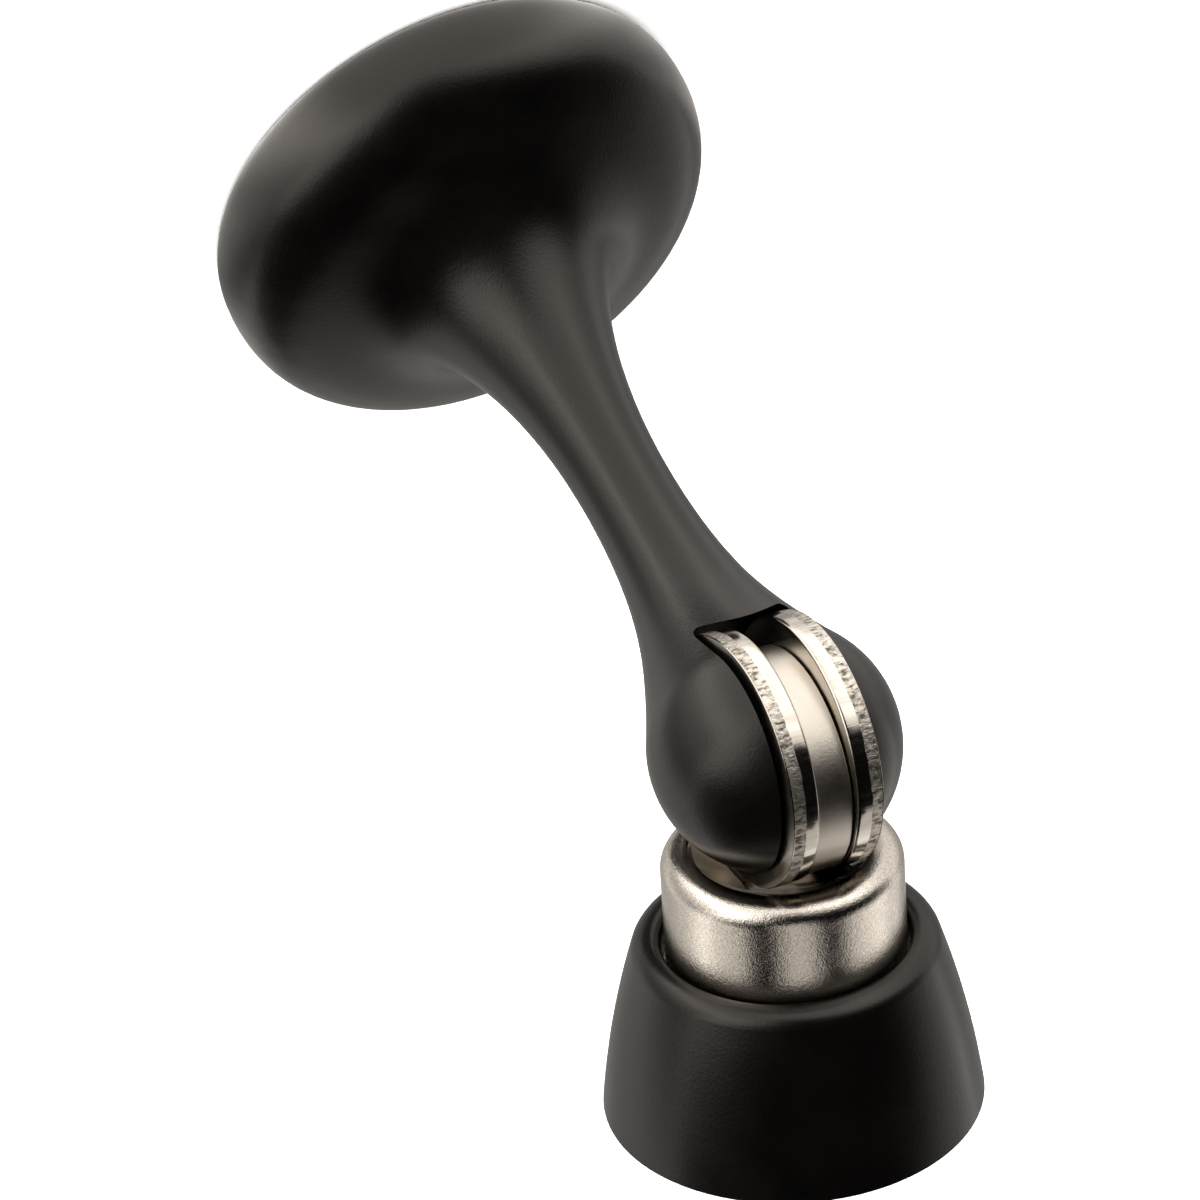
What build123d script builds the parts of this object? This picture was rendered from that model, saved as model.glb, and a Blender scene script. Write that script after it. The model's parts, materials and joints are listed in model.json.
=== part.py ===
"""Magnetic floor door holder: a floor unit with a forked ball and a magnetic wheel, and a door strike.

Millimetres. The origin is the centre of the dish's underside, +Z runs up the neck and +X points
towards the door. The wheel turns about Y. The strike is built upright about its own axis, from the
wheel's axle outwards, and is then tipped into place.
"""
from build123d import *
import os
from math import acos, atan2, cos, degrees, radians, sin, sqrt

# Floor unit: driving dimensions
FOOT_RADIUS = 24.35         # underside of the dish
DISH_RADIUS = 25.65         # widest part of the dish
DISH_WIDEST_Z = 3.4
WAIST_RADIUS = 4.6          # thinnest part of the neck
WAIST_Z = 42.5
BALL_RADIUS = 12.0
BALL_Z = 75.9               # height of the ball's centre
BALL_MEETS_NECK = 28.0      # degrees below the ball's equator
NECK_CURVE = [              # (radius, height) up the outside, between the dish's edge and the ball
    (24.25, 9.0), (21.0, 11.8), (15.2, 13.7), (11.2, 16.5), (8.5, 21.0), (6.9, 25.5), (5.3, 33.0),
    (WAIST_RADIUS, WAIST_Z), (5.35, 54.6), (8.9, 66.6),
]
FOOT_LEAN = 32.0            # degrees from the floor at which the dish's edge rises
FOOT_PULL = 1.0             # how firmly the outline follows its direction at the floor
BALL_PULL = 0.5             # and where it meets the ball
SLOT_WIDTH = 9.9
POCKET_RADIUS = 12.95       # round bottom of the slot, about the axle
POCKET_CORNER = 0.9         # rounding between the slot's bottom and its cheeks
AXLE_Z = BALL_Z + 0.4
AXLE_RADIUS = 2.0
AXLE_BLIND_END = -9.0       # the pin stops inside the near cheek
AXLE_OPEN_END = 11.4        # and just under the surface of the far cheek
AXLE_CHAMFER = 0.3

# Hollow under the dish, and the pan it locks onto
HOLLOW_RADIUS = 21.1
HOLLOW_SHOULDER_Z = 7.7
HOLLOW_SIDE = (19.3, 10.2)  # a point on the rounded corner between wall and ceiling
HOLLOW_CEILING_RADIUS = 13.0
HOLLOW_CEILING_Z = 12.0
PAN_RADIUS = 21.0
PAN_WALL = 1.8
PAN_FLOOR = 2.5
PAN_HEIGHT = 7.5
PAN_SCREW_PCD = 28.0
PAN_SCREW_HOLE = 2.2        # clears a 4 mm countersunk screw
PAN_COUNTERSINK = 4.0
SCREWS_PER_PAN = 3
FIRST_SCREW_ANGLE = 60.0    # keeps the screws clear of the grub screw
BASE_GRUB_Z = 5.0
BASE_GRUB_RADIUS = 2.0      # M4
BASE_GRUB_INNER = 18.8
BASE_GRUB_OUTER = 25.1

# Magnetic wheel
DISC_RADIUS = 12.25
DISC_THICKNESS = 2.7
DISC_EDGE_ROUND = 0.15
WHEEL_LEFT = -4.5           # outer face of the left disc; the stack sits a little to the right
MAGNET_THICKNESS = 3.75
MAGNET_RADIUS = 10.75
MAGNET_BORE = 5.0
MAGNET_SHIFT = 1.2          # the loose ring sits this far off the axle
MAGNET_SHIFT_ANGLE = 60.0   # degrees above +X, between the keeper and the top of the ball
DISC_AIR_GAP = 0.15         # between the magnet and the right disc
EYELET_RADIUS = 3.2
EYELET_BORE = AXLE_RADIUS + 0.06

# Keeper cup, measured outwards along the strike's axis from the axle
STRIKE_TILT = 24.0          # degrees above square to the neck
SEAT_GAP = 0.1              # between the disc corners and the seat
SEAT_RADIUS = 16.0
CUP_RADIUS = 11.55
CUP_RIM = 10.6              # station of the rim's crest
CUP_RIM_ROUND = 2.0
CUP_INNER_ROUND = 0.8
CUP_SHELL = 1.5
CUP_SKIRT_INNER = 10.35
CUP_VALLEY = 12.2           # station of the groove behind the rim
CUP_VALLEY_ROUND = 1.2
FLANGE_RADIUS = 12.9
FLANGE_FRONT = 23.35
FLANGE_THICKNESS = 1.4
CUP_TRAVEL = 4.5            # how far the cup can be pressed in
TRAVEL_END_GAP = 0.35       # left between the flange and the washer at the end of it

# Strike housing, plate, washer and spring, on the same stations
OPENING_RADIUS = 11.9
LIP_CREST = 20.1
LIP_CREST_RADIUS = 12.95
LIP_INNER_ROUND = 1.0
LIP_OUTER_ROUND = 2.0
SIDE_SLOPE = 16.3           # degrees the side leans from the axis where it leaves the lip
SIDE_MID = (17.06, 30.0)    # radius and station half way down the bulging side
BASE_RADIUS = 18.45
DOOR_FACE = 38.6
LIP_BACK = 23.2
GUIDE_RADIUS = 13.2
WASHER_FRONT = FLANGE_FRONT + FLANGE_THICKNESS + CUP_TRAVEL + TRAVEL_END_GAP
WASHER_THICKNESS = 1.8
WASHER_BORE = 11.8
PLATE_RADIUS = 15.2
PLATE_CLEARANCE = 0.1
PLATE_WALL = 1.6
PLATE_FLOOR = 2.2
PLATE_SCREW_PCD = 20.0
PLATE_SCREW_HOLE = 1.9      # clears a 3.5 mm countersunk screw
PLATE_COUNTERSINK = 3.5
SPRING_BOSS_RADIUS = 5.1
SPRING_BOSS_HEIGHT = 1.5
SPRING_COIL_RADIUS = 5.8
SPRING_WIRE_RADIUS = 0.5
SPRING_TURNS = 7
STRIKE_GRUB_STATION = 34.0
STRIKE_GRUB_RADIUS = 1.5    # M3
STRIKE_GRUB_INNER = 13.2
STRIKE_GRUB_OUTER = 17.5

HEX_SOCKET_DEPTH = 0.45     # of a grub screw's length
HEX_SOCKET_RADIUS = 0.58    # of a grub screw's radius, to the socket's corners
CONTACT_GAP = 0.05          # between a spring and what it presses on
GRUB_HOLE_CLEARANCE = 0.1   # round a grub screw where it passes through a pan's rim
OVERCUT = 1.0               # how far a cutting tool runs past a face

STRIKE_PLACE = Pos(0, 0, AXLE_Z) * Rot(0, 90 - STRIKE_TILT, 0)
MAGNET_LEFT = WHEEL_LEFT + DISC_THICKNESS
MAGNET_RIGHT = MAGNET_LEFT + MAGNET_THICKNESS
RIGHT_DISC_LEFT = MAGNET_RIGHT + DISC_AIR_GAP
WHEEL_RIGHT = RIGHT_DISC_LEFT + DISC_THICKNESS


def turned(*lines):
    """A solid of revolution about Z, from a closed outline of (radius, height) lines."""
    outline = Plane.XZ * (Curve() + list(lines))
    return revolve(make_face(outline), Axis.Z)


def tube(outer, inner, bottom, top):
    """A round tube about Z, or a solid disc where the inner radius is 0."""
    section = Circle(outer)
    if inner > 0:
        section = section - Circle(inner)
    return extrude(Pos(0, 0, bottom) * section, top - bottom)


def rod_along_y(radius, start, end):
    """A round rod on the axle's line, from y = start to y = end."""
    rod = Cylinder(radius, end - start, align=(Align.CENTER, Align.CENTER, Align.MIN))
    return Pos(0, start, AXLE_Z) * Rot(-90, 0, 0) * rod


def rod_along_x(radius, height, start, end):
    """A round rod at one height, from x = start to x = end."""
    rod = Cylinder(radius, end - start, align=(Align.CENTER, Align.CENTER, Align.MIN))
    return Pos(start, 0, height) * Rot(0, 90, 0) * rod


def on_circle(radius, angle, centre=(0, 0)):
    """The point at an angle in degrees on a circle."""
    return centre[0] + radius * cos(radians(angle)), centre[1] + radius * sin(radians(angle))


def arc(radius, centre, start, end):
    """Part of a circle in an outline, between two angles in degrees."""
    points = [on_circle(radius, angle, centre) for angle in (start, (start + end) / 2, end)]
    return ThreePointArc(*points)


# Floor unit

def holder_casting():
    """Dish, waisted neck and forked ball, hollow under the dish."""
    ball = arc(BALL_RADIUS, (0, BALL_Z), -BALL_MEETS_NECK, 90)
    side = Spline(
        (FOOT_RADIUS, 0), (DISH_RADIUS, DISH_WIDEST_Z), *NECK_CURVE, ball @ 0,
        tangents=[on_circle(1, FOOT_LEAN), on_circle(1, 90 - BALL_MEETS_NECK)],
        tangent_scalars=[FOOT_PULL, BALL_PULL],
    )
    body = turned(Line((0, 0), (FOOT_RADIUS, 0)), side, ball, Line(ball @ 1, (0, 0)))

    ceiling_edge = (HOLLOW_CEILING_RADIUS, HOLLOW_CEILING_Z)
    shoulder = (HOLLOW_RADIUS, HOLLOW_SHOULDER_Z)
    hollow = turned(
        Line((0, -OVERCUT), (HOLLOW_RADIUS, -OVERCUT)),
        Line((HOLLOW_RADIUS, -OVERCUT), shoulder),
        ThreePointArc(shoulder, HOLLOW_SIDE, ceiling_edge),
        Line(ceiling_edge, (0, HOLLOW_CEILING_Z)),
        Line((0, HOLLOW_CEILING_Z), (0, -OVERCUT)),
    )
    slot = rod_along_y(POCKET_RADIUS, -SLOT_WIDTH / 2, SLOT_WIDTH / 2)
    slot = fillet(slot.edges().filter_by(GeomType.CIRCLE), POCKET_CORNER)
    axle_hole = rod_along_y(AXLE_RADIUS, AXLE_BLIND_END, BALL_RADIUS + OVERCUT)
    grub_hole = rod_along_x(BASE_GRUB_RADIUS, BASE_GRUB_Z, BASE_GRUB_INNER, DISH_RADIUS + OVERCUT)
    return body - hollow - slot - axle_hole - grub_hole


def pan(radius, wall, floor, height):
    """A pressed pan, open upwards, with its floor at z = 0."""
    return tube(radius, 0, 0, height) - tube(radius - wall, 0, floor, height + OVERCUT)


def countersunk_holes(pcd, hole, countersink, floor):
    """Cutting tools for screws that come down through a pan's floor."""
    depth = countersink - hole
    tool = tube(hole, 0, -OVERCUT, floor + OVERCUT)
    cone = Cone(hole, countersink, depth, align=(Align.CENTER, Align.CENTER, Align.MIN))
    tool += Pos(0, 0, floor - depth) * cone
    return [loc * tool for loc in PolarLocations(pcd / 2, SCREWS_PER_PAN, start_angle=FIRST_SCREW_ANGLE)]


def mounting_plate():
    """Steel pan that is screwed to the floor inside the dish's hollow."""
    plate = pan(PAN_RADIUS, PAN_WALL, PAN_FLOOR, PAN_HEIGHT)
    plate -= countersunk_holes(PAN_SCREW_PCD, PAN_SCREW_HOLE, PAN_COUNTERSINK, PAN_FLOOR)
    notch = rod_along_x(BASE_GRUB_RADIUS + GRUB_HOLE_CLEARANCE, BASE_GRUB_Z, 0, PAN_RADIUS + OVERCUT)
    inside = tube(PAN_RADIUS - PAN_WALL - OVERCUT, 0, 0, PAN_HEIGHT)
    return plate - (notch - inside)


def grub_screw(radius, height, start, end):
    """A headless set screw along X, with a hexagon socket in its outer end."""
    socket_depth = (end - start) * HEX_SOCKET_DEPTH
    screw = rod_along_x(radius, height, start, end)
    socket = extrude(RegularPolygon(radius * HEX_SOCKET_RADIUS, 6), socket_depth + OVERCUT)
    return screw - Pos(end - socket_depth, 0, height) * Rot(0, 90, 0) * socket


def base_set_screw():
    return grub_screw(BASE_GRUB_RADIUS, BASE_GRUB_Z, BASE_GRUB_INNER, BASE_GRUB_OUTER)


def axle_pin():
    """Pin pressed into both cheeks, with a small chamfer at each end."""
    pin = rod_along_y(AXLE_RADIUS, AXLE_BLIND_END, AXLE_OPEN_END)
    return chamfer(pin.edges().filter_by(GeomType.CIRCLE), AXLE_CHAMFER)


# Magnetic wheel

def pole_disc(left_face):
    """One steel disc of the wheel, with its rim edges just broken."""
    disc = rod_along_y(DISC_RADIUS, left_face, left_face + DISC_THICKNESS)
    disc = fillet(disc.edges().filter_by(GeomType.CIRCLE), DISC_EDGE_ROUND)
    return disc - rod_along_y(EYELET_RADIUS, left_face, left_face + DISC_THICKNESS)


def ring_magnet():
    """Ring magnet, loose on the eyelet and lying off its centre."""
    shift_x, shift_z = on_circle(MAGNET_SHIFT, MAGNET_SHIFT_ANGLE)
    ring = rod_along_y(MAGNET_RADIUS, MAGNET_LEFT, MAGNET_RIGHT)
    ring = fillet(ring.edges().filter_by(GeomType.CIRCLE), DISC_EDGE_ROUND)
    return Pos(shift_x, 0, shift_z) * (ring - rod_along_y(MAGNET_BORE, MAGNET_LEFT, MAGNET_RIGHT))


def hub_eyelet():
    """Brass tube through the wheel, running on the axle pin."""
    outside = rod_along_y(EYELET_RADIUS, WHEEL_LEFT, WHEEL_RIGHT)
    return outside - rod_along_y(EYELET_BORE, WHEEL_LEFT, WHEEL_RIGHT)


# Door strike, built about Z from the axle at z = 0 and then tipped into place

def seat_centre():
    """Height of the centre of the seat's sphere, from the disc corners that nearly touch it."""
    corner = max(-WHEEL_LEFT, WHEEL_RIGHT)
    return DISC_RADIUS - sqrt((SEAT_RADIUS - SEAT_GAP) ** 2 - corner ** 2)


def keeper_cup():
    """Pressed cup: hollow seat, rounded rim, skirt and the flange that keeps it in the housing."""
    centre = (0, seat_centre())
    back_radius = SEAT_RADIUS + CUP_SHELL
    inner_rise = CUP_RIM + CUP_INNER_ROUND - centre[1]
    inner_reach = sqrt((SEAT_RADIUS + CUP_INNER_ROUND) ** 2 - inner_rise ** 2)
    seat_edge = degrees(atan2(inner_rise, inner_reach))
    seat = arc(SEAT_RADIUS, centre, 90, seat_edge)
    inner_round = arc(CUP_INNER_ROUND, (inner_reach, CUP_RIM + CUP_INNER_ROUND), 180 + seat_edge, 270)
    rim_centre = (CUP_RADIUS - CUP_RIM_ROUND, CUP_RIM + CUP_RIM_ROUND)
    rim = arc(CUP_RIM_ROUND, rim_centre, 270, 360)
    valley_centre = (CUP_SKIRT_INNER - CUP_VALLEY_ROUND, CUP_VALLEY + CUP_VALLEY_ROUND)
    valley = arc(CUP_VALLEY_ROUND, valley_centre, 360, 270)
    back_edge = degrees(acos(valley_centre[0] / back_radius))
    back = arc(back_radius, centre, back_edge, 90)
    flange_back = FLANGE_FRONT + FLANGE_THICKNESS
    skirt = Polyline(
        rim @ 1, (CUP_RADIUS, FLANGE_FRONT), (FLANGE_RADIUS, FLANGE_FRONT),
        (FLANGE_RADIUS, flange_back), (CUP_SKIRT_INNER, flange_back), valley @ 0,
    )
    step = Line(valley @ 1, back @ 0)
    return turned(
        seat, inner_round, Line(inner_round @ 1, rim @ 0), rim, skirt, valley, step, back,
        Line(back @ 1, seat @ 0),
    )


def strike_housing():
    """Short bulging cone with a rounded lip, bored for the cup and opened behind for the plate."""
    lip_outer = arc(
        LIP_OUTER_ROUND, (LIP_CREST_RADIUS, LIP_CREST + LIP_OUTER_ROUND), 360 - SIDE_SLOPE, 270
    )
    inner_centre = (OPENING_RADIUS + LIP_INNER_ROUND, LIP_CREST + LIP_INNER_ROUND)
    lip_inner = arc(LIP_INNER_ROUND, inner_centre, 270, 180)
    side = ThreePointArc((BASE_RADIUS, DOOR_FACE), SIDE_MID, lip_outer @ 0)
    plate_bore = PLATE_RADIUS + PLATE_CLEARANCE
    inside = Polyline(
        lip_inner @ 1, (OPENING_RADIUS, LIP_BACK), (GUIDE_RADIUS, LIP_BACK), (GUIDE_RADIUS, WASHER_FRONT),
        (plate_bore, WASHER_FRONT), (plate_bore, DOOR_FACE), side @ 0,
    )
    housing = turned(side, lip_outer, Line(lip_outer @ 1, lip_inner @ 0), lip_inner, inside)
    hole_end = BASE_RADIUS + OVERCUT
    return housing - rod_along_x(STRIKE_GRUB_RADIUS, STRIKE_GRUB_STATION, STRIKE_GRUB_INNER, hole_end)


def strike_plate():
    """Steel pan that is screwed to the door, with a low boss that keeps the spring central."""
    height = DOOR_FACE - WASHER_FRONT - WASHER_THICKNESS
    plate = pan(PLATE_RADIUS, PLATE_WALL, PLATE_FLOOR, height)
    plate += tube(SPRING_BOSS_RADIUS, 0, PLATE_FLOOR, PLATE_FLOOR + SPRING_BOSS_HEIGHT)
    plate -= countersunk_holes(PLATE_SCREW_PCD, PLATE_SCREW_HOLE, PLATE_COUNTERSINK, PLATE_FLOOR)
    plate = Pos(0, 0, DOOR_FACE) * Rot(180, 0, 0) * plate
    hole_radius = STRIKE_GRUB_RADIUS + GRUB_HOLE_CLEARANCE
    rim_inside = PLATE_RADIUS - PLATE_WALL - OVERCUT
    return plate - rod_along_x(hole_radius, STRIKE_GRUB_STATION, rim_inside, PLATE_RADIUS + OVERCUT)


def strike_set_screw():
    return grub_screw(STRIKE_GRUB_RADIUS, STRIKE_GRUB_STATION, STRIKE_GRUB_INNER, STRIKE_GRUB_OUTER)


def buffer_washer():
    """Rubber washer between the housing's shoulder and the plate's rim."""
    return tube(PLATE_RADIUS, WASHER_BORE, WASHER_FRONT, WASHER_FRONT + WASHER_THICKNESS)


def cup_spring():
    """Coil spring from the strike plate's floor to the domed back of the cup's seat."""
    reach = SEAT_RADIUS + CUP_SHELL + SPRING_WIRE_RADIUS + CONTACT_GAP
    top = seat_centre() + sqrt(reach ** 2 - SPRING_COIL_RADIUS ** 2)
    bottom = DOOR_FACE - PLATE_FLOOR - SPRING_WIRE_RADIUS - CONTACT_GAP
    height = bottom - top
    coil = Helix(pitch=height / SPRING_TURNS, height=height, radius=SPRING_COIL_RADIUS)
    wire = Plane(coil @ 0, z_dir=coil % 0) * Circle(SPRING_WIRE_RADIUS)
    return Pos(0, 0, top) * sweep(wire, path=coil, is_frenet=True)


def export_parts():
    floor_unit = {
        "holder_casting": holder_casting(),
        "mounting_plate": mounting_plate(),
        "base_set_screw": base_set_screw(),
        "axle_pin": axle_pin(),
        "left_pole_disc": pole_disc(WHEEL_LEFT),
        "right_pole_disc": pole_disc(RIGHT_DISC_LEFT),
        "ring_magnet": ring_magnet(),
        "hub_eyelet": hub_eyelet(),
    }
    strike = {
        "keeper_cup": keeper_cup(),
        "strike_housing": strike_housing(),
        "strike_plate": strike_plate(),
        "strike_set_screw": strike_set_screw(),
        "buffer_washer": buffer_washer(),
        "cup_spring": cup_spring(),
    }
    os.makedirs("parts", exist_ok=True)
    for name, shape in floor_unit.items():
        export_step(shape, f"parts/{name}.step")
    for name, shape in strike.items():
        export_step(STRIKE_PLACE * shape, f"parts/{name}.step")


export_parts()
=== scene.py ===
"""Looks of the magnetic floor door holder: finishes, blanked discs, spring, studio and camera.

Metres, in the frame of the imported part: the floor unit stands on z = 0 and the strike points along +X.
"""
import bmesh
import bpy
from math import cos, pi, radians, sin, tau
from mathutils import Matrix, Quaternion, Vector, noise
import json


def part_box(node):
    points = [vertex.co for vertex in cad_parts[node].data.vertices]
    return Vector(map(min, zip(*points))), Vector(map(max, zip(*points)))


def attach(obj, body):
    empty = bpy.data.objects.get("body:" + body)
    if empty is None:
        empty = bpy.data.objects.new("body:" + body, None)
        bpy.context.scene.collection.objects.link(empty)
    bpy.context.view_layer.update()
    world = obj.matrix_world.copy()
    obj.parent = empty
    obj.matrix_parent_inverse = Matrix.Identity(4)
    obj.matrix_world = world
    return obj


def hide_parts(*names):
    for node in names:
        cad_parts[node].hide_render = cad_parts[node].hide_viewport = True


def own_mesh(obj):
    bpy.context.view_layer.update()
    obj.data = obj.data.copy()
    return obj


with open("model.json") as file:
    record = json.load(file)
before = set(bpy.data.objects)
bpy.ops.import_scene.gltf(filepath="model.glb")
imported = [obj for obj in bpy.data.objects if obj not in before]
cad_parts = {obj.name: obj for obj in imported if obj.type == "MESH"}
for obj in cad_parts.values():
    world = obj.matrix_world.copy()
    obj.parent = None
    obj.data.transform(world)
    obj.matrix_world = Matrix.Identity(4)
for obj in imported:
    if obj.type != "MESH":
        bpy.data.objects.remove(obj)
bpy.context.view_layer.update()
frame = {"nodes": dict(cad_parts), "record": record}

MM = 0.001

# Camera: where it stands about its target, its turn about the view line, and its lens.
# Azimuth 0 looks along +Y.
VIEW_AZIMUTH = -65.744
VIEW_ELEVATION = 31.733
VIEW_ROLL = 150.45
VIEW_DISTANCE = 0.4924
VIEW_TARGET = Vector((5.24, -5.79, 51.13)) * MM
VIEW_LENS = 153.9
SENSOR_WIDTH = 36.0
CLIP_START = 0.01
CLIP_END = 20

# Blanked rims of the pole discs, from the magnet's side outwards
DISC_SEGMENTS = 540
INNER_BORDER = 1.2 * MM         # from the rim to one more row on the inner face
ROLLED_EDGE = 0.3 * MM          # rounded by the punch
ROLLED_STEPS = 6
BURNISHED_TO = 0.54             # of the thickness; the rest is torn
TORN_STEPS = 16                 # across the torn band
TORN_TAPER = 0.07 * MM          # how much smaller the torn band gets outwards
TORN_DEPTH = 0.034 * MM         # of its pits, for a noise of 1
TORN_PEAK = 0.012 * MM          # most that a bump stands out of the torn band
BURR_LIP = 0.05 * MM
BURR_WIDTH = 0.09 * MM
OUTER_BORDER = 1.0 * MM         # from the rim to one more row on the outer face
RIM_BAND = 0.5 * MM             # how far in from the rim the tearing reaches

# Noise of the torn band: cells in the rim's radius and in a millimetre of depth
PIT_CELLS = 38
PIT_CELLS_DEEP = 2.2
PIT_ROUGHNESS = 0.8             # fractal increment
PIT_FINENESS = 2.1              # of each layer against the last
PIT_LAYERS = 4
PIT_FADE = 0.3 * MM             # pits deepen over this much of the band
BURR_FADE = 0.12 * MM           # and fade towards the burr
BURR_PITS = 0.25                # to this share
TEAR_WAVE = 0.14 * MM           # how far the edge of the torn band wanders
TEAR_CELLS = 9
TEAR_CARRY = 0.5                # share of the wander that is left within the band
LEFT_SEED = 3.0
RIGHT_SEED = 11.0

# A disc's finishes, numbered as the materials of its mesh
FLAT = 0
BURNISHED = 1
TORN = 2

# Cup's seat: a polished hollow about a point on the strike's axis, behind the axle
STRIKE_TILT = 24.0
SEAT_BEHIND_AXLE = 2.91 * MM
SEAT_RADIUS = 16.0 * MM
SEAT_MARGIN = 0.1 * MM
SEAT_BLEND = 0.5 * MM
SEAT_ROUGHNESS = 0.06
SEAT_GRAIN = 0.1                # share of the outside's grain

# Spring: stations are measured from the axle along the strike's axis
SPRING_SEAT = 14.19 * MM
SPRING_DOOR = 35.85 * MM
SPRING_RADIUS = 5.8 * MM
SPRING_WIRE = 0.5 * MM          # radius of the wire
SPRING_TURNS = 7
SPRING_STEPS = 64               # in each turn
SPRING_SIDES = 14               # round the wire
CLOSED_PITCH = 1.05 * MM        # rise over the closed turn at each end

WARM = (1, 0.955, 0.905)
WHITE = (1, 1, 1)
FLOOR_REACH = 3.0

# Room: (elevation in degrees, brightness), and its soft lights:
# (azimuth, elevation, half width in degrees, strength)
ROOM_LEVELS = ((0, 0.9), (3, 0.38), (9, 0.13), (18, 0.05), (30, 0.006), (90, 0.003))
ROOM_LIGHTS = ((-120, -12, 50, 2.15), (155, -10, 46, 1.6), (60, 5, 50, 0.6), (5, 25, 32, 0.6))

# Glowing card that only reflections see, just above the floor: (azimuth, brightness) round it
CARD_RADIUS = 1.5
CARD_HEIGHT = 0.4 * MM
CARD_SIDES = 96
CARD_LEVELS = (
    (-180, 1.5), (-146, 1.5), (-127, 3.0), (-104, 1.1), (-74, 0.42), (-50, 0.9), (-20, 0.5),
    (72, 0.4), (96, 1.1), (112, 0.9), (130, 1.2), (150, 2.3), (168, 1.6), (180, 1.5),
)
CARD_TOP = 3.0

# What the lamps point at
OBJECT_PLACE = Vector((0.005, 0, 0.06))
FLOOR_LEFT = Vector((-0.075, -0.13, 0))
CUP_PLACE = Vector((0.017, 0, 0.084))
WHEEL_PLACE = Vector((0, 0, 0.0763))

# Lamps: (name, azimuth, elevation, distance, width, height, power), each plain one with its aim
PLAIN_LAMPS = (
    (("overhead", -120, 78, 2.2, 3.4, 3.4, 190), OBJECT_PLACE),
    (("left_floor_lamp", -120, 50, 0.22, 0.2, 0.2, 0.5), FLOOR_LEFT),
)
CUP_LAMPS = (
    ("cup_light", -70, 76, 0.5, 0.5, 0.26, 0.26),
    ("cup_right_light", 66, 38, 0.5, 0.3, 0.4, 0.28),
    ("cup_front_light", -50, 14, 0.5, 0.45, 0.4, 0.42),
)
WHEEL_LAMPS = (
    ("wheel_light", 152, 22, 0.5, 0.25, 0.16, 0.1),
    ("wheel_fill", 32, 44, 0.5, 0.3, 0.3, 0.2),
)
WHEEL_PIECES = ("left_blanked_disc", "right_blanked_disc", "ring_magnet")


def strike_axis():
    """Unit vector along the strike, from the axle towards the door."""
    return Vector((cos(radians(STRIKE_TILT)), 0, sin(radians(STRIKE_TILT))))


def strike_point(station):
    """The point at a distance from the axle along the strike's axis."""
    low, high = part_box("axle_pin")
    return Vector(((low.x + high.x) / 2, 0, (low.z + high.z) / 2)) + strike_axis() * station


# Materials

def new_material(name, metallic=0.0):
    """A node material, its tree and its shader."""
    material = bpy.data.materials.new(name)
    material.use_nodes = True
    shader = material.node_tree.nodes["Principled BSDF"]
    shader.inputs["Metallic"].default_value = metallic
    return material, material.node_tree, shader


def feed(tree, value, socket):
    """Gives a socket another node's output, a colour without its alpha, or a number."""
    if isinstance(value, bpy.types.NodeSocket):
        tree.links.new(value, socket)
    elif isinstance(value, tuple):
        socket.default_value = (*value, 1)
    else:
        socket.default_value = value


def object_noise(tree, scale, detail, roughness=0.55, stretch=(1, 1, 1)):
    """Solid noise in the object's own metres. Returns the factor output."""
    place = tree.nodes.new("ShaderNodeTexCoord")
    mapping = tree.nodes.new("ShaderNodeMapping")
    mapping.inputs["Scale"].default_value = stretch
    texture = tree.nodes.new("ShaderNodeTexNoise")
    texture.inputs["Scale"].default_value = scale
    texture.inputs["Detail"].default_value = detail
    texture.inputs["Roughness"].default_value = roughness
    tree.links.new(place.outputs["Object"], mapping.inputs["Vector"])
    tree.links.new(mapping.outputs["Vector"], texture.inputs["Vector"])
    return texture.outputs["Fac"]


def ranged(tree, value, low, high, from_low=0.3, from_high=0.7):
    """A value's middle range, or the range given, stretched to low..high."""
    node = tree.nodes.new("ShaderNodeMapRange")
    node.inputs["From Min"].default_value = from_low
    node.inputs["From Max"].default_value = from_high
    node.inputs["To Min"].default_value = low
    node.inputs["To Max"].default_value = high
    tree.links.new(value, node.inputs["Value"])
    return node.outputs["Result"]


def bump(tree, height, distance, strength=1.0, below=None):
    """A bump from a height value, on top of another bump if one is given."""
    node = tree.nodes.new("ShaderNodeBump")
    node.inputs["Distance"].default_value = distance
    feed(tree, strength, node.inputs["Strength"])
    tree.links.new(height, node.inputs["Height"])
    if below is not None:
        tree.links.new(below, node.inputs["Normal"])
    return node.outputs["Normal"]


def joined(tree, operation, first, second):
    """A math node's result; second is a number or another node's output."""
    node = tree.nodes.new("ShaderNodeMath")
    node.operation = operation
    tree.links.new(first, node.inputs[0])
    feed(tree, second, node.inputs[1])
    return node.outputs["Value"]


def mixed_colour(tree, factor, first, second):
    """A colour between two colours or colour outputs, by a factor."""
    node = tree.nodes.new("ShaderNodeMix")
    node.data_type = "RGBA"
    feed(tree, first, node.inputs["A"])
    feed(tree, second, node.inputs["B"])
    tree.links.new(factor, node.inputs["Factor"])
    return node.outputs["Result"]


def dress(tree, shader, colour, roughness, normal):
    """Links a material's colour, roughness and bump to its shader."""
    tree.links.new(colour, shader.inputs["Base Color"])
    tree.links.new(roughness, shader.inputs["Roughness"])
    tree.links.new(normal, shader.inputs["Normal"])


def black_coat():
    """Satin black powder coat with a very fine grain."""
    material, tree, shader = new_material("black_coat")
    patches = object_noise(tree, 160, 3)
    grain = object_noise(tree, 3200, 2)
    shade = ranged(tree, patches, 0, 1)
    colour = mixed_colour(tree, shade, (0.0004, 0.0003, 0.0003), (0.0009, 0.0008, 0.0007))
    dress(tree, shader, colour, ranged(tree, patches, 0.28, 0.32), bump(tree, grain, 0.035 * MM, 0.5))
    shader.inputs["Specular IOR Level"].default_value = 0.48
    shader.inputs["Specular Tint"].default_value = (1, 0.95, 0.91, 1)
    return material


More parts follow.
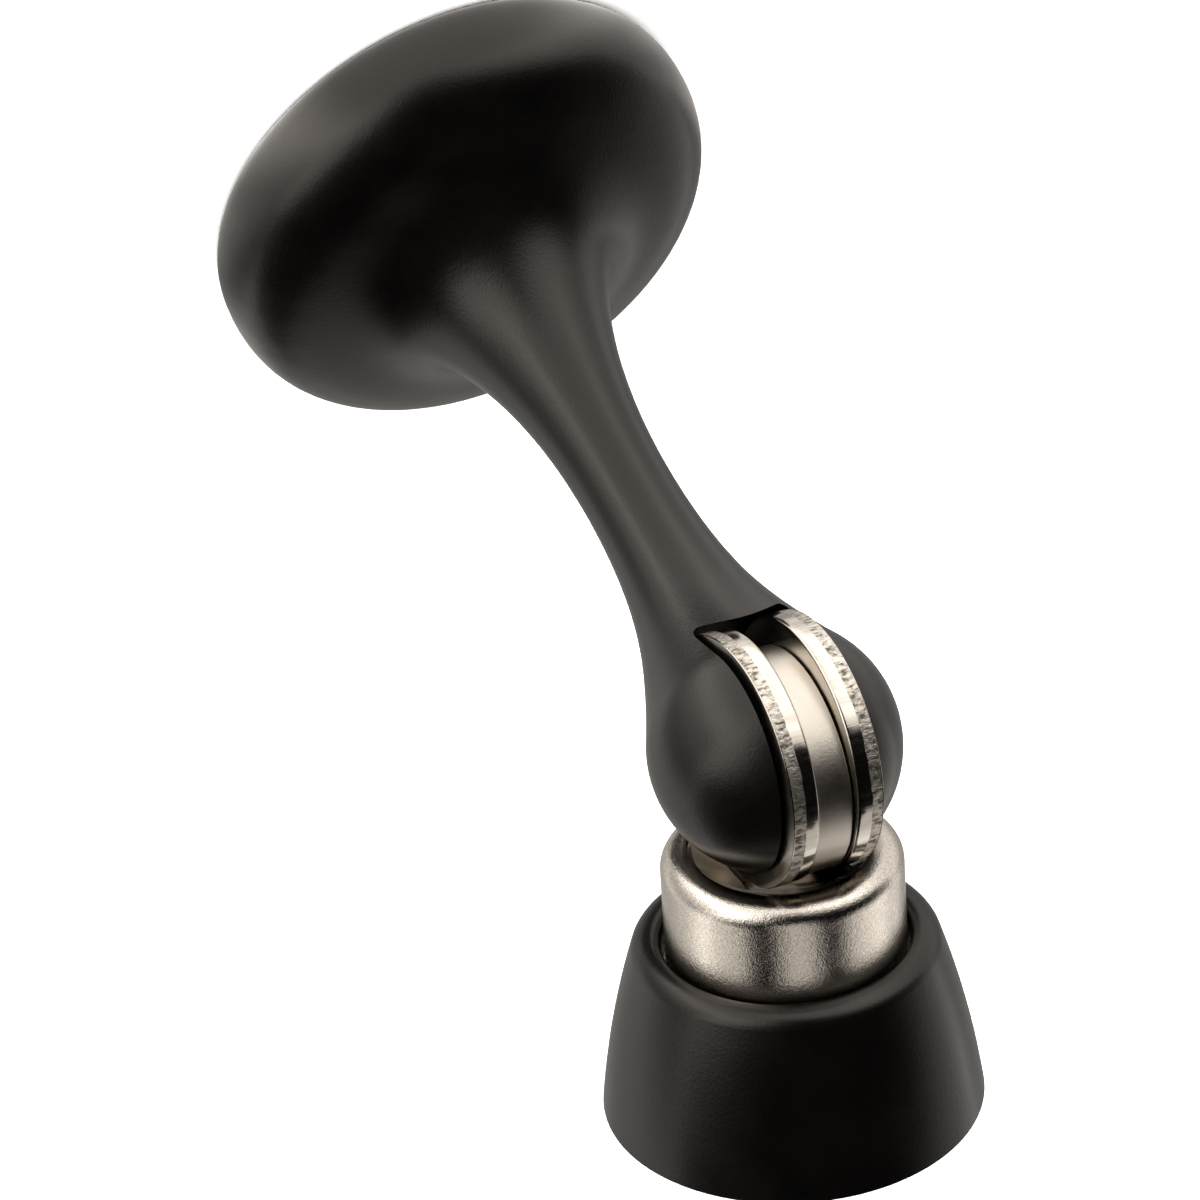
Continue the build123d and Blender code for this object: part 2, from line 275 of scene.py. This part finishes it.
def nickel(name, rough_low, rough_high, grain_scale, grain_height):
    """Warm nickel plate over a grained surface."""
    material, tree, shader = new_material(name, metallic=1.0)
    grain = object_noise(tree, grain_scale, 3)
    patches = object_noise(tree, 220, 4)
    shade = ranged(tree, patches, 0, 1)
    colour = mixed_colour(tree, shade, (0.55, 0.507, 0.447), (0.635, 0.595, 0.535))
    roughness = ranged(tree, patches, rough_low, rough_high)
    dress(tree, shader, colour, roughness, bump(tree, grain, grain_height))
    return material


def outside_seat(tree):
    """1 on the cup's outside, falling within the seat to the seat's small share of the grain and of the
    plated colour, the rest there being painted shade.
    """
    place = tree.nodes.new("ShaderNodeTexCoord")
    from_centre = tree.nodes.new("ShaderNodeVectorMath")
    from_centre.operation = "DISTANCE"
    from_centre.inputs[1].default_value = strike_point(-SEAT_BEHIND_AXLE)
    tree.links.new(place.outputs["Object"], from_centre.inputs[0])
    edge = SEAT_RADIUS + SEAT_MARGIN
    return ranged(tree, from_centre.outputs["Value"], SEAT_GRAIN, 1, edge, edge + SEAT_BLEND)


def cup_nickel():
    """Pressed nickel with a sandy grain outside and a polished seat inside, whose dark brown colour is
    painted shade.
    """
    material, tree, shader = new_material("cup_nickel", metallic=1.0)
    patches = object_noise(tree, 220, 4)
    grain = object_noise(tree, 6500, 3)
    peel = object_noise(tree, 2200, 2)
    outside = outside_seat(tree)
    shade = ranged(tree, grain, 0, 1)
    plated = mixed_colour(tree, shade, (0.52, 0.475, 0.42), (0.80, 0.755, 0.685))
    # Painted shade: inside the seat the colour is mostly this dark brown, standing in for the dark
    # reflection of the black ball.
    colour = mixed_colour(tree, outside, (0.17, 0.14, 0.108), plated)
    sandy = joined(tree, "MULTIPLY", ranged(tree, patches, 0.09, 0.15), outside)
    roughness = joined(tree, "ADD", sandy, SEAT_ROUGHNESS)
    rolled = bump(tree, peel, 0.025 * MM, outside)
    dress(tree, shader, colour, roughness, bump(tree, grain, 0.028 * MM, outside, rolled))
    return material


def torn_nickel():
    """Nickel over the torn part of a blanked rim: short tears and pits that run across it, the pits
    painted darker as painted shade.
    """
    material, tree, shader = new_material("torn_nickel", metallic=1.0)
    tears = object_noise(tree, 2800, 5, 0.65, stretch=(1, 0.4, 1))
    shade = ranged(tree, tears, 0, 1, 0.37, 0.55)
    # Darker where the bump dips: partly the torn metal's own uneven tone, partly painted shade in the
    # pits.
    colour = mixed_colour(tree, shade, (0.12, 0.1, 0.08), (0.66, 0.62, 0.56))
    dress(tree, shader, colour, ranged(tree, tears, 0.5, 0.26), bump(tree, tears, 0.1 * MM))
    return material


def burnished_nickel():
    """Nickel over the punched part of the rim: bright, with faint lines across it."""
    material, tree, shader = new_material("burnished_nickel", metallic=1.0)
    lines = object_noise(tree, 2600, 3, stretch=(1, 0.06, 1))
    shade = ranged(tree, lines, 0, 1)
    colour = mixed_colour(tree, shade, (0.56, 0.517, 0.465), (0.65, 0.612, 0.555))
    dress(tree, shader, colour, ranged(tree, lines, 0.1, 0.18), bump(tree, lines, 0.012 * MM, 0.6))
    return material


def plain_metal(name, first, second, roughness, grain_scale=1200, stretch=(1, 1, 1)):
    """Bare or plated metal with drawn or rolled grain."""
    material, tree, shader = new_material(name, metallic=1.0)
    grain = object_noise(tree, grain_scale, 4, stretch=stretch)
    colour = mixed_colour(tree, ranged(tree, grain, 0, 1), first, second)
    varied = ranged(tree, grain, roughness - 0.06, roughness + 0.06)
    dress(tree, shader, colour, varied, bump(tree, grain, 0.01 * MM, 0.5))
    return material


def rubber():
    """Matte black rubber with a fine grain."""
    material, tree, shader = new_material("black_rubber")
    grain = object_noise(tree, 2500, 3)
    colour = mixed_colour(tree, grain, (0.012, 0.012, 0.012), (0.03, 0.03, 0.03))
    dress(tree, shader, colour, ranged(tree, grain, 0.75, 0.9), bump(tree, grain, 0.03 * MM))
    return material


FINISHES = {
    "black_coat": black_coat(),
    "zinc_steel": plain_metal("zinc_steel", (0.40, 0.405, 0.41), (0.49, 0.495, 0.495), 0.34),
    "black_steel": plain_metal("black_steel", (0.05, 0.05, 0.052), (0.075, 0.075, 0.077), 0.4, 5200),
    "pin_steel": plain_metal("pin_steel", (0.5, 0.49, 0.47), (0.6, 0.59, 0.57), 0.25, 1500, (1, 0.1, 1)),
    "disc_nickel": nickel("disc_nickel", 0.16, 0.26, 2400, 0.01 * MM),
    "magnet_nickel": nickel("magnet_nickel", 0.3, 0.38, 6000, 0.022 * MM),
    "eyelet_brass": plain_metal("eyelet_brass", (0.62, 0.46, 0.2), (0.74, 0.57, 0.3), 0.3),
    "cup_nickel": cup_nickel(),
    "black_rubber": rubber(),
    "spring_steel": plain_metal("spring_steel", (0.4, 0.39, 0.37), (0.52, 0.51, 0.48), 0.3),
}
for part in frame["record"]["subparts"]:
    node = frame["nodes"][part["node"]]
    node.data.materials.clear()
    node.data.materials.append(FINISHES[part["material_slot"]])

# In the order of FLAT, BURNISHED and TORN
DISC_FINISHES = (FINISHES["disc_nickel"], burnished_nickel(), torn_nickel())


# Detailed pieces

def add_piece(name, mesh, body, node, materials):
    """Links a mesh as a piece that stands for a CAD node."""
    for material in materials:
        mesh.materials.append(material)
    piece = bpy.data.objects.new(name, mesh)
    bpy.context.scene.collection.objects.link(piece)
    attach(piece, body)
    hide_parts(node)
    return piece


def join_rings(shape, ring, following, finish=0):
    """Smooth faces from one ring of vertices to the next."""
    for number, vertex in enumerate(ring):
        after = (number + 1) % len(ring)
        face = shape.faces.new((vertex, ring[after], following[after], following[number]))
        face.smooth = True
        face.material_index = finish


def finished_mesh(name, shape):
    """The mesh of a finished shape, with its faces turned outwards."""
    bmesh.ops.recalc_face_normals(shape, faces=shape.faces)
    mesh = bpy.data.meshes.new(name)
    shape.to_mesh(mesh)
    shape.free()
    return mesh


def disc_outline(radius, bore, thickness):
    """Closed outline of a blanked disc: (radius, distance from the inner face, finish, sharp edge)."""
    burnished_end = thickness * BURNISHED_TO
    rows = [
        (bore, 0, FLAT, True),
        (radius - INNER_BORDER, 0, FLAT, False),
        (radius - ROLLED_EDGE, 0, BURNISHED, False),
    ]
    for step in range(1, ROLLED_STEPS + 1):
        angle = step / ROLLED_STEPS * pi / 2
        out = radius - ROLLED_EDGE * (1 - sin(angle))
        rows.append((out, ROLLED_EDGE * (1 - cos(angle)), BURNISHED, False))
    rows.append((radius, (ROLLED_EDGE + burnished_end) / 2, BURNISHED, False))
    rows.append((radius, burnished_end, TORN, True))
    for step in range(1, TORN_STEPS):
        along = step / TORN_STEPS
        depth = burnished_end + (thickness - burnished_end) * along
        rows.append((radius - TORN_TAPER * along, depth, TORN, False))
    rows.append((radius - TORN_TAPER + BURR_LIP, thickness - BURR_WIDTH, BURNISHED, False))
    rows.append((radius - TORN_TAPER - BURR_LIP, thickness, FLAT, True))
    rows.append((radius - OUTER_BORDER, thickness, FLAT, False))
    rows.append((bore, thickness, FLAT, True))
    return rows


def torn_shift(around, depth, burnished_end, thickness, seed):
    """How far tearing moves a point of the rim outwards and along the axis."""
    deep = seed + depth / MM * PIT_CELLS_DEEP
    pit_place = Vector((cos(around) * PIT_CELLS, sin(around) * PIT_CELLS, deep))
    pits = noise.fractal(pit_place, PIT_ROUGHNESS, PIT_FINENESS, PIT_LAYERS)
    into = min(1.0, max(0.0, (depth - burnished_end) / PIT_FADE))
    outwards = min(1.0, (thickness - depth) / BURR_FADE)
    pit = pits * TORN_DEPTH * into * max(outwards, BURR_PITS)
    wave_place = Vector((cos(around) * TEAR_CELLS, sin(around) * TEAR_CELLS, seed))
    wander = noise.noise(wave_place) * TEAR_WAVE
    return min(pit, TORN_PEAK), wander * (1 - into) + wander * into * outwards * TEAR_CARRY


def disc_ring(row_radius, depth, radius, thickness, seed):
    """Points round one row of a disc: (angle, radius, distance from the inner face)."""
    burnished_end = thickness * BURNISHED_TO
    torn = depth >= burnished_end and row_radius > radius - RIM_BAND
    points = []
    for segment in range(DISC_SEGMENTS):
        around = tau * segment / DISC_SEGMENTS
        out = row_radius
        along = depth
        if torn:
            pit, wander = torn_shift(around, depth, burnished_end, thickness, seed)
            out += pit
            if depth < thickness:
                along = min(depth + wander, thickness)
        points.append((around, out, along))
    return points


def pole_disc(name, node, outwards, seed):
    """A pole disc whose burr and torn band face outwards and whose rolled edge faces the magnet."""
    low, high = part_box(node)
    bore_low, bore_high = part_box("hub_eyelet")
    centre = (low + high) / 2
    radius = (high.x - low.x) / 2
    bore = (bore_high.x - bore_low.x) / 2
    thickness = high.y - low.y
    inner_face = low.y if outwards > 0 else high.y
    rows = disc_outline(radius, bore, thickness)
    shape = bmesh.new()
    rings = []
    for row_radius, depth, finish, sharp in rows:
        ring = []
        for around, out, along in disc_ring(row_radius, depth, radius, thickness, seed):
            x = centre.x + out * cos(around)
            z = centre.z + out * sin(around)
            ring.append(shape.verts.new((x, inner_face + outwards * along, z)))
        rings.append(ring)
    for number, ring in enumerate(rings):
        join_rings(shape, ring, rings[(number + 1) % len(rings)], rows[number][2])
    for ring, (row_radius, depth, finish, sharp) in zip(rings, rows):
        if sharp:
            for vertex, after in zip(ring, ring[1:] + ring[:1]):
                shape.edges.get((vertex, after)).smooth = False
    add_piece(name, finished_mesh(name, shape), "magnet_wheel", node, DISC_FINISHES)


def spring_station(turn):
    """How far along the spring its wire is after a number of turns, closed at both ends."""
    length = SPRING_DOOR - SPRING_SEAT
    open_pitch = (length - 2 * CLOSED_PITCH) / (SPRING_TURNS - 2)
    if turn < 1:
        return CLOSED_PITCH * turn
    if turn > SPRING_TURNS - 1:
        return length - CLOSED_PITCH * (SPRING_TURNS - turn)
    return CLOSED_PITCH + open_pitch * (turn - 1)


def cup_spring():
    """Coil spring with closed ends, from the cup's back to the strike plate."""
    axis = strike_axis()
    across = Vector((0, 1, 0))
    third = axis.cross(across)
    shape = bmesh.new()
    rings = []
    for step in range(SPRING_TURNS * SPRING_STEPS + 1):
        turn = step / SPRING_STEPS
        outwards = across * cos(tau * turn) + third * sin(tau * turn)
        centre = strike_point(SPRING_SEAT + spring_station(turn)) + outwards * SPRING_RADIUS
        ring = []
        for side in range(SPRING_SIDES):
            angle = tau * side / SPRING_SIDES
            away = outwards * cos(angle) + axis * sin(angle)
            ring.append(shape.verts.new(centre + away * SPRING_WIRE))
        rings.append(ring)
    for ring, following in zip(rings, rings[1:]):
        join_rings(shape, ring, following)
    shape.faces.new(rings[0])
    shape.faces.new(rings[-1])
    mesh = finished_mesh("coil_spring", shape)
    materials = (FINISHES["spring_steel"],)
    spring = add_piece("coil_spring", mesh, "door_strike", "cup_spring", materials)
    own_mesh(spring)


pole_disc("left_blanked_disc", "left_pole_disc", -1, LEFT_SEED)
pole_disc("right_blanked_disc", "right_pole_disc", 1, RIGHT_SEED)
cup_spring()


# Studio

def toward(azimuth, elevation):
    """Unit vector; azimuth is counted from +X towards +Y, in degrees."""
    a = radians(azimuth)
    e = radians(elevation)
    return Vector((cos(a) * cos(e), sin(a) * cos(e), sin(e)))


def set_stops(ramp, stops):
    """Gives a colour ramp its stops: (position, colour), the first at 0 and the last at 1."""
    elements = ramp.color_ramp.elements
    elements[0].color = (*stops[0][1], 1)
    elements[1].color = (*stops[-1][1], 1)
    for position, colour in stops[1:-1]:
        elements.new(position).color = (*colour, 1)


def panel(name, azimuth, elevation, distance, width, height, power, aim, only_reflected):
    """A flat lamp facing its aim, which gives only reflections or only diffuse light."""
    lamp = bpy.data.lights.new(name, "AREA")
    lamp.shape = "RECTANGLE"
    lamp.size = width
    lamp.size_y = height
    lamp.energy = power
    lamp.color = WARM if only_reflected else WHITE
    holder = bpy.data.objects.new(name, lamp)
    bpy.context.scene.collection.objects.link(holder)
    away = toward(azimuth, elevation)
    holder.location = aim + away * distance
    holder.rotation_mode = "QUATERNION"
    holder.rotation_quaternion = away.to_track_quat("Z", "Y")
    holder.visible_camera = False
    holder.visible_diffuse = not only_reflected
    holder.visible_glossy = only_reflected
    return holder


def only_on(lamp, names):
    """Lets a lamp light only some of the pieces."""
    lit = bpy.data.collections.new(lamp.name + "_lights")
    for name in names:
        lit.objects.link(frame["nodes"].get(name) or bpy.data.objects[name])
    lamp.light_linking.receiver_collection = lit


def lamps():
    """Plain lamps for the whole scene, and small ones that light only the cup or only the wheel."""
    for lamp, aim in PLAIN_LAMPS:
        panel(*lamp, aim, only_reflected=False)
    for lamp in CUP_LAMPS:
        only_on(panel(*lamp, CUP_PLACE, only_reflected=True), ("keeper_cup",))
    for lamp in WHEEL_LAMPS:
        only_on(panel(*lamp, WHEEL_PLACE, only_reflected=True), WHEEL_PIECES)


def surroundings():
    """Pale room round the horizon, dark overhead, with soft lights low down."""
    world = bpy.data.worlds.new("room")
    world.use_nodes = True
    tree = world.node_tree
    place = tree.nodes.new("ShaderNodeTexCoord")
    parts = tree.nodes.new("ShaderNodeSeparateXYZ")
    ramp = tree.nodes.new("ShaderNodeValToRGB")
    tree.links.new(place.outputs["Generated"], parts.inputs["Vector"])
    tree.links.new(parts.outputs["Z"], ramp.inputs["Fac"])
    set_stops(ramp, [(sin(radians(elevation)), (level,) * 3) for elevation, level in ROOM_LEVELS])
    total = ramp.outputs["Color"]
    for azimuth, elevation, half_width, strength in ROOM_LIGHTS:
        along = tree.nodes.new("ShaderNodeVectorMath")
        along.operation = "DOT_PRODUCT"
        along.inputs[1].default_value = toward(azimuth, elevation)
        tree.links.new(place.outputs["Generated"], along.inputs[0])
        spread = tree.nodes.new("ShaderNodeMapRange")
        spread.interpolation_type = "SMOOTHERSTEP"
        spread.inputs["From Min"].default_value = cos(radians(half_width))
        spread.inputs["From Max"].default_value = 1.0
        spread.inputs["To Max"].default_value = strength
        tree.links.new(along.outputs["Value"], spread.inputs["Value"])
        total = joined(tree, "ADD", total, spread.outputs["Result"])
    background = tree.nodes["Background"]
    background.inputs["Color"].default_value = (*WARM, 1)
    tree.links.new(total, background.inputs["Strength"])
    bpy.context.scene.world = world


def card_glow():
    """Glow of the floor card, whose brightness changes round it."""
    material, tree, shader = new_material("light_card")
    place = tree.nodes.new("ShaderNodeTexCoord")
    parts = tree.nodes.new("ShaderNodeSeparateXYZ")
    tree.links.new(place.outputs["Object"], parts.inputs["Vector"])
    azimuth = joined(tree, "ARCTAN2", parts.outputs["Y"], parts.outputs["X"])
    ramp = tree.nodes.new("ShaderNodeValToRGB")
    ramp.color_ramp.interpolation = "EASE"
    tree.links.new(ranged(tree, azimuth, 0, 1, -pi, pi), ramp.inputs["Fac"])
    stops = []
    for degrees, level in CARD_LEVELS:
        share = level / CARD_TOP
        stops.append(((degrees + 180) / 360, tuple(share * channel for channel in WARM)))
    set_stops(ramp, stops)
    tree.links.new(ramp.outputs["Color"], shader.inputs["Emission Color"])
    shader.inputs["Emission Strength"].default_value = CARD_TOP
    shader.inputs["Base Color"].default_value = (0, 0, 0, 1)
    shader.inputs["Specular IOR Level"].default_value = 0.0
    return material


def light_card():
    """Round glowing card on the floor, seen only in reflections."""
    corners = []
    for side in range(CARD_SIDES):
        angle = tau * side / CARD_SIDES
        corners.append((CARD_RADIUS * cos(angle), CARD_RADIUS * sin(angle), CARD_HEIGHT))
    mesh = bpy.data.meshes.new("light_card")
    mesh.from_pydata(corners, [], [tuple(range(CARD_SIDES))])
    mesh.materials.append(card_glow())
    card = bpy.data.objects.new("light_card", mesh)
    bpy.context.scene.collection.objects.link(card)
    card.visible_camera = False
    card.visible_diffuse = False
    card.visible_shadow = False


def floor():
    """Pale floor, large enough to fill every view."""
    mesh = bpy.data.meshes.new("floor")
    corners = [(-1, -1, 0), (1, -1, 0), (1, 1, 0), (-1, 1, 0)]
    mesh.from_pydata([Vector(corner) * FLOOR_REACH for corner in corners], [], [(0, 1, 2, 3)])
    ground = bpy.data.objects.new("floor", mesh)
    bpy.context.scene.collection.objects.link(ground)
    material, tree, shader = new_material("pale_floor")
    shader.inputs["Base Color"].default_value = (0.92, 0.92, 0.91, 1)
    shader.inputs["Roughness"].default_value = 0.8
    shader.inputs["Specular IOR Level"].default_value = 0.0
    mesh.materials.append(material)


def camera():
    """Camera at the chosen view, turned about its view line."""
    holder = bpy.data.objects.new("camera", bpy.data.cameras.new("camera"))
    bpy.context.scene.collection.objects.link(holder)
    holder.data.lens = VIEW_LENS
    holder.data.sensor_width = SENSOR_WIDTH
    holder.data.clip_start = CLIP_START
    holder.data.clip_end = CLIP_END
    away = toward(VIEW_AZIMUTH - 90, VIEW_ELEVATION)
    holder.location = VIEW_TARGET + away * VIEW_DISTANCE
    holder.rotation_mode = "QUATERNION"
    turn = Quaternion((0, 0, 1), radians(VIEW_ROLL))
    holder.rotation_quaternion = (-away).to_track_quat("-Z", "Y") @ turn
    bpy.context.scene.camera = holder


surroundings()
floor()
camera()
light_card()
lamps()
bpy.context.scene.view_settings.view_transform = "Standard"
